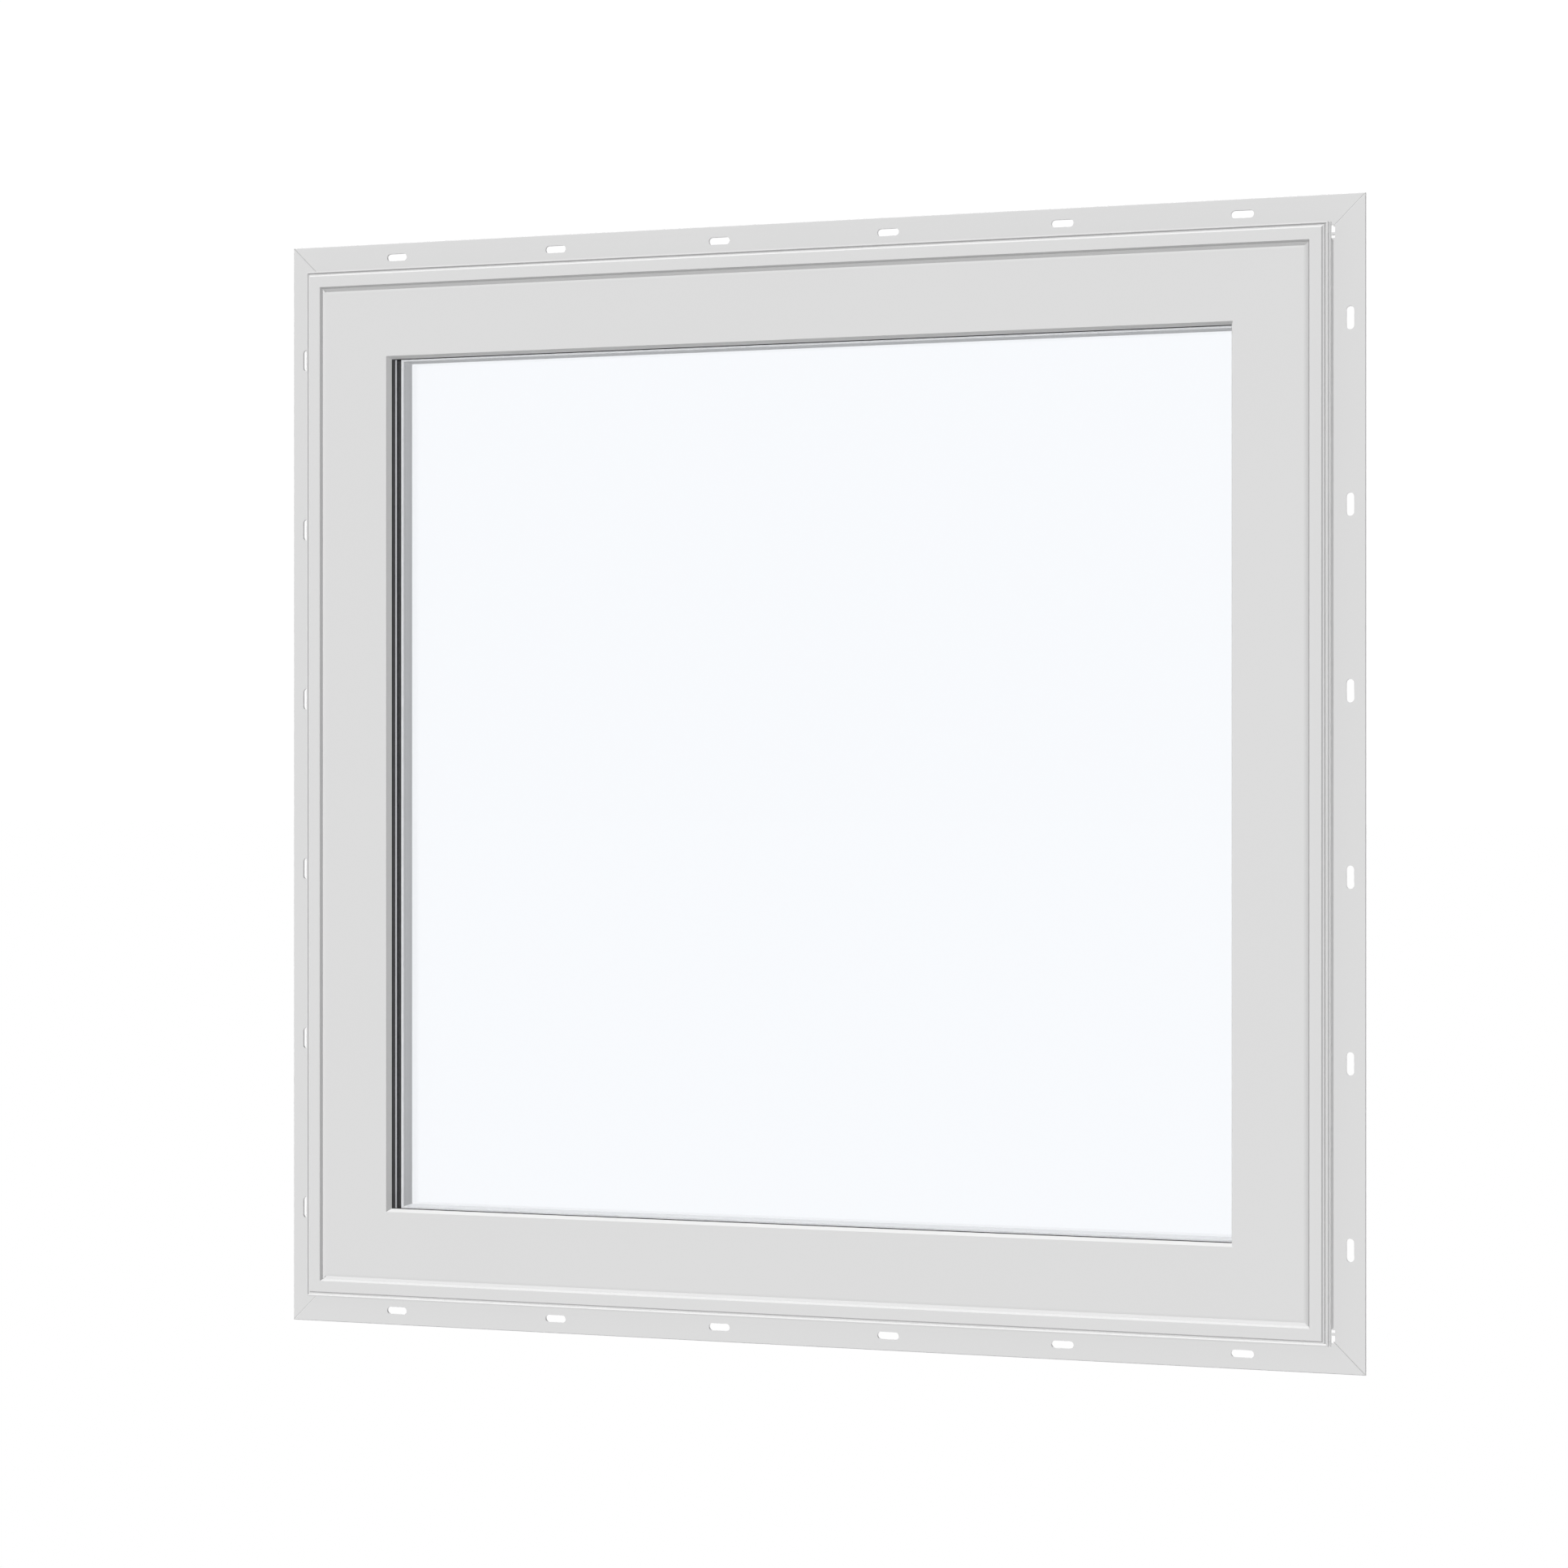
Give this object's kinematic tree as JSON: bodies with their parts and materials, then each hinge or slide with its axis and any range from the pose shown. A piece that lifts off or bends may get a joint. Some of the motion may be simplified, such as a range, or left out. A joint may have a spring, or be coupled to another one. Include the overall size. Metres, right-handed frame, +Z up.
{
  "type": "awning window",
  "caption": "Closed square awning window of white vinyl with a slotted nail fin, insulating glass and a folding crank on the room side.",
  "frame": {"origin": "back face of the bottom nail fin, on its line of slots, at mid width", "axes": "+X to the right seen from outdoors, +Y into the room, +Z up"},
  "size_m": [0.9652, 0.1101, 0.9652],
  "materials": {
    "vinyl": "satin",
    "glass": "polished",
    "gasket": "matte",
    "spacer": "matte",
    "weatherstrip": "matte",
    "hardware_plastic": "satin",
    "hardware_metal": "satin",
    "hinge_steel": "brushed"
  },
  "bodies": {
    "root": {"frame_sill": "vinyl", "frame_head": "vinyl", "frame_jamb_left": "vinyl", "frame_jamb_right": "vinyl", "sash_bottom_rail": "vinyl", "sash_top_rail": "vinyl", "sash_left_stile": "vinyl", "sash_right_stile": "vinyl", "glazing_bead_bottom": "vinyl", "glazing_bead_left": "vinyl", "glazing_bead_top": "vinyl", "glazing_bead_right": "vinyl", "nail_fin_bottom": "vinyl", "nail_fin_left": "vinyl", "nail_fin_top": "vinyl", "nail_fin_right": "vinyl", "gasket_bottom": "gasket", "gasket_left": "gasket", "gasket_top": "gasket", "gasket_right": "gasket", "spacer_bottom": "spacer", "spacer_left": "spacer", "spacer_top": "spacer", "spacer_right": "spacer", "weatherstrip_bottom": "weatherstrip", "weatherstrip_left": "weatherstrip", "weatherstrip_top": "weatherstrip", "weatherstrip_right": "weatherstrip", "outer_glass": "glass", "inner_glass": "glass", "operator_cover": "hardware_plastic", "crank_arm": "hardware_metal", "crank_knob": "hardware_plastic", "lock_base_left": "hardware_plastic", "lock_lever_left": "hardware_metal", "hinge_track_left": "hinge_steel", "hinge_arm_left": "hinge_steel", "lock_base_right": "hardware_plastic", "lock_lever_right": "hardware_metal", "hinge_track_right": "hinge_steel", "hinge_arm_right": "hinge_steel"}
  },
  "joints": []
}
